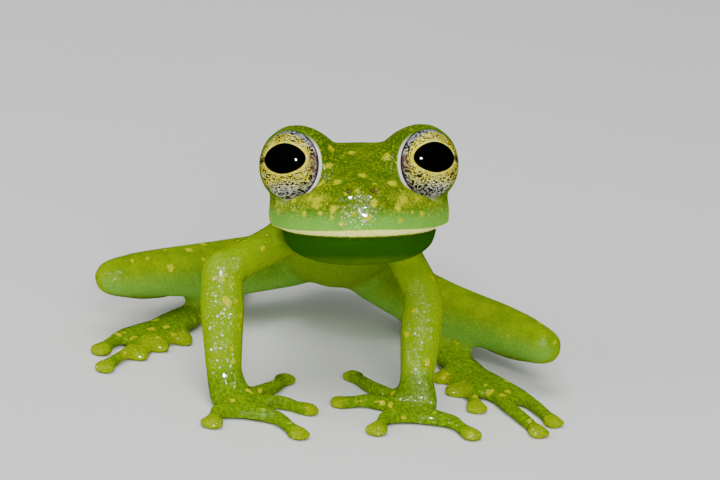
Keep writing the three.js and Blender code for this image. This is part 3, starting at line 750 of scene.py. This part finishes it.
def swollen(mesh, amount):
    """Swells the flesh so that the gaps between its parts close, but not those between the digits."""
    bm = bmesh.new()
    bm.from_mesh(mesh)
    bm.normal_update()
    moves = [vert.normal * amount * from_tips(vert.co) for vert in bm.verts]
    for vert, move in zip(bm.verts, moves):
        vert.co += move
    bm.to_mesh(mesh)
    bm.free()
    return mesh


def make_skin(material):
    """One closed skin over all the flesh, which stands for its solids."""
    flesh = merged_flesh()
    for lid in LIDS:
        room = Matrix.Translation(from_head(lid.centre))
        bmesh.ops.create_icosphere(flesh, subdivisions=4, radius=EYE_RADIUS + EYE_ROOM, matrix=room)
    rough = bpy.data.meshes.new("flesh")
    flesh.to_mesh(rough)
    remesh = ("REMESH", {"mode": "VOXEL", "voxel_size": VOXEL})
    joined = worked(swollen(worked(rough, remesh), SWELL), remesh)
    part = flesh.faces.layers.int["part"]
    eye_rooms = [face for face in flesh.faces if face[part] == 0]
    bmesh.ops.delete(flesh, geom=eye_rooms, context="FACES")
    flesh.faces.ensure_lookup_table()
    tree = BVHTree.FromBMesh(flesh)

    bm = bmesh.new()
    bm.from_mesh(joined)
    smoothed(bm, JOINT_ROUNDS, bm.verts)
    masks = {name: bm.verts.layers.float.new(name) for name in MASKS}
    bm.normal_update()
    fill_body_masks(bm, masks, tree, flesh.faces, part)
    thick = [vert for vert in bm.verts if vert[masks["hand"]] < 0.1 and in_head(vert.co).y > 1.5]
    smoothed(bm, BODY_ROUNDS, thick)
    bm.normal_update()
    for vert in bm.verts:
        vert.co -= vert.normal * SETTLE * from_tips(vert.co)
    fine = [edge for edge in bm.edges if all(is_face(vert) for vert in edge.verts)]
    bmesh.ops.subdivide_edges(bm, edges=fine, cuts=1, use_grid_fill=True)
    smoothed(bm, FACE_ROUNDS, [vert for vert in bm.verts if is_face(vert)])
    bm.normal_update()
    shaped_lids(bm, masks)
    bm.normal_update()
    shaped_face(bm, masks)
    opened_lids(bm, masks)
    for vert in bm.verts:
        vert.co.z = max(vert.co.z, 0.0)
    bm.normal_update()
    flesh.free()
    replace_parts(finished("skin", bm, material), *FLESH)


def is_face(vert):
    """Whether a vertex lies on the face, which has a finer mesh."""
    place = in_head(vert.co)
    return place.y < 2.2 and place.z > -4.9 and abs(place.x) < FACE_HALF_WIDTH


def make_eye(name, side, material):
    """A whole eyeball, with its poles on the gaze and its own across and up in attributes."""
    centre = from_head(eye_centre(side))
    gaze = looking(side, GAZE_OUTWARD, GAZE_UPWARD)
    outward, upward = axes_round(gaze, side)
    turn = (HEAD_TURN @ gaze).to_track_quat("Z", "Y").to_matrix().to_4x4()
    bm = bmesh.new()
    bmesh.ops.create_uvsphere(
        bm, u_segments=96, v_segments=72, radius=EYE_RADIUS, matrix=Matrix.Translation(centre) @ turn
    )
    across_layer, up_layer, side_layer, edge_layer = [
        bm.verts.layers.float.new(layer) for layer in ("eye_out", "eye_up", "eye_side", "eye_edge")
    ]
    opening = looking(side, OPENING_OUTWARD, OPENING_UPWARD)
    for vert in bm.verts:
        ray = TO_HEAD @ (vert.co - centre).normalized()
        vert[across_layer] = ray.dot(outward)
        vert[up_layer] = ray.dot(upward)
        vert[side_layer] = side * NET_SHIFT
        vert[edge_layer] = ray.angle(opening) / LID_EDGE
        vert.co = centre + (vert.co - centre) * (1 + CORNEA_RISE * ease(0.55, 0.95, ray.dot(gaze)))
    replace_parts(finished("eyeball_" + name, bm, material), "eye_" + name)


# Camera, floor and light.
CAMERA_PLACE = Vector((1.4, -210.57, 77.66))
CAMERA_PITCH = math.radians(18)
CAMERA_ROLL = math.radians(6)
CAMERA_LENS = 195.8

FLOOR_HALF_WIDTH = 3.0
SKY_COLOUR = paint(0.9, 0.95, 1.0)
SKY_STRENGTH = 0.42

# Softboxes, in metres and watts: name, place, size, power.
SOFTBOXES = [
    ("top_softbox", (-0.05, -0.08, 0.42), 0.34, 1.15),
    ("front_softbox", (0.06, -0.34, 0.2), 0.2, 0.95),
    ("side_softbox", (-0.32, -0.22, 0.2), 0.26, 0.4),
]
HIGHLIGHT = ("highlight", (-0.014, -0.2, 0.14), 0.012, 5.0)


def make_camera():
    """A long lens at the photograph's viewing angle, in millimetres from the frog's own origin."""
    data = bpy.data.cameras.new("camera")
    data.sensor_width = 36
    data.sensor_fit = "HORIZONTAL"
    data.lens = CAMERA_LENS
    data.clip_start = 0.01
    camera = bpy.data.objects.new("camera", data)
    across = Vector((1, 0, 0))
    upward = Vector((0, math.sin(CAMERA_PITCH), math.cos(CAMERA_PITCH)))
    back = Vector((0, -math.cos(CAMERA_PITCH), math.sin(CAMERA_PITCH)))
    x_axis = across * math.cos(CAMERA_ROLL) + upward * math.sin(CAMERA_ROLL)
    y_axis = upward * math.cos(CAMERA_ROLL) - across * math.sin(CAMERA_ROLL)
    turn = Matrix((x_axis, y_axis, back)).transposed().to_4x4()
    camera.matrix_world = Matrix.Translation((ORIGIN + CAMERA_PLACE) * MM) @ turn
    bpy.context.collection.objects.link(camera)
    bpy.context.scene.camera = camera


def make_light(name, place, size, power, highlight=False):
    """A round lamp: a softbox lights the skin and isn't mirrored in it, and a highlight lamp only is."""
    data = bpy.data.lights.new(name, "AREA")
    data.shape = "DISK"
    data.size = size
    data.energy = power
    light = bpy.data.objects.new(name, data)
    light.location = Vector(place)
    light.visible_glossy = highlight
    light.visible_diffuse = not highlight
    aim = HEAD_CENTRE * MM - light.location
    light.rotation_euler = aim.to_track_quat("-Z", "Y").to_euler()
    bpy.context.collection.objects.link(light)


def make_floor():
    """The plain pale floor that the frog rests on."""
    bm = bmesh.new()
    bmesh.ops.create_grid(bm, x_segments=4, y_segments=4, size=FLOOR_HALF_WIDTH)
    mesh = bpy.data.meshes.new("floor")
    bm.to_mesh(mesh)
    bm.free()
    mesh.materials.append(floor_material())
    floor = bpy.data.objects.new("floor", mesh)
    bpy.context.collection.objects.link(floor)
    floor.visible_glossy = False


def make_room():
    """Soft light from all round, three softboxes, and a small lamp for the glints."""
    world = bpy.data.worlds.new("studio")
    world.use_nodes = True
    world.node_tree.nodes["Background"].inputs["Color"].default_value = SKY_COLOUR
    world.node_tree.nodes["Background"].inputs["Strength"].default_value = SKY_STRENGTH
    bpy.context.scene.world = world
    world.cycles_visibility.glossy = False
    for softbox in SOFTBOXES:
        make_light(*softbox)
    make_light(*HIGHLIGHT, highlight=True)


make_skin(skin_material())
eye_finish = eye_material()
for name, side in SIDES.items():
    make_eye(name, side, eye_finish)
make_floor()
make_room()
make_camera()
